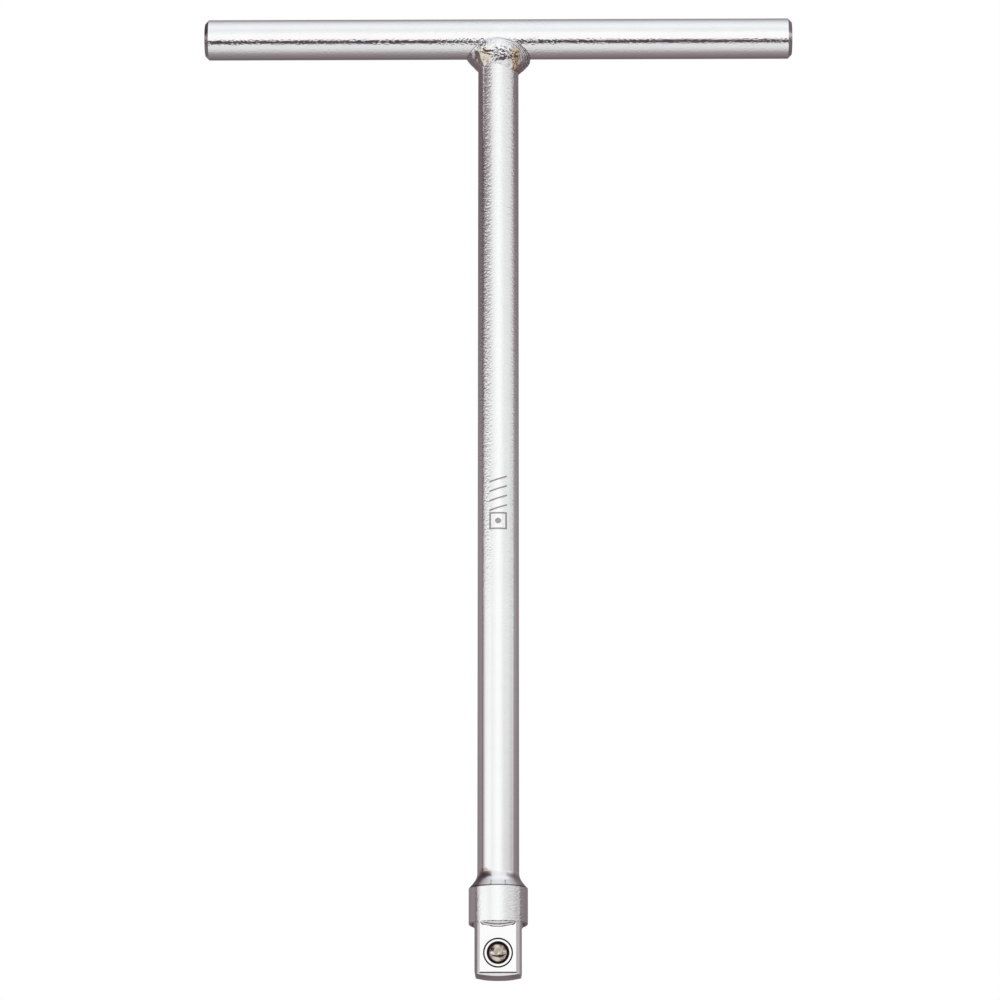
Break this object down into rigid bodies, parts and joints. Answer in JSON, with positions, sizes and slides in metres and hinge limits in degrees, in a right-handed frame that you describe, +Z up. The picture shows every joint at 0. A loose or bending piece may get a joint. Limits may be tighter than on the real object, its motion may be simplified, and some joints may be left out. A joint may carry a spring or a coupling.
{
  "type": "t-handle square-drive wrench",
  "caption": "Fixed T-handle wrench: a round bar welded across a round stem that flares into a collar and a male square drive with a sprung detent ball.",
  "frame": {"origin": "centre of the square drive's end face, on the stem's axis", "axes": "+Z up the stem to the cross bar, +X along the cross bar, -Y out of the flat that carries the ball"},
  "size_m": [0.124, 0.012, 0.203],
  "materials": {
    "handle_bar": "satin chrome plate with a faint orange peel",
    "shaft": "satin chrome plate, bright on the milled drive",
    "weld_bead": "chrome over rippled weld metal with straw heat tint",
    "detent_ball": "polished bearing steel",
    "detent_spring": "drawn spring wire, lightly oiled"
  },
  "bodies": {
    "wrench": {"handle_bar": "handle_bar", "shaft": "shaft", "weld_bead": "weld_bead", "detent_spring": "detent_spring"},
    "ball": {"detent_ball": "detent_ball"}
  },
  "joints": [
    {"name": "ball_press", "type": "slide", "parent": "wrench", "child": "ball", "axis": [0, 1, 0], "range_m": [0, 0.00074], "stiffness_N_per_m": 2000, "springref_m": -0.0015, "deforming": ["detent_spring"]}
  ]
}
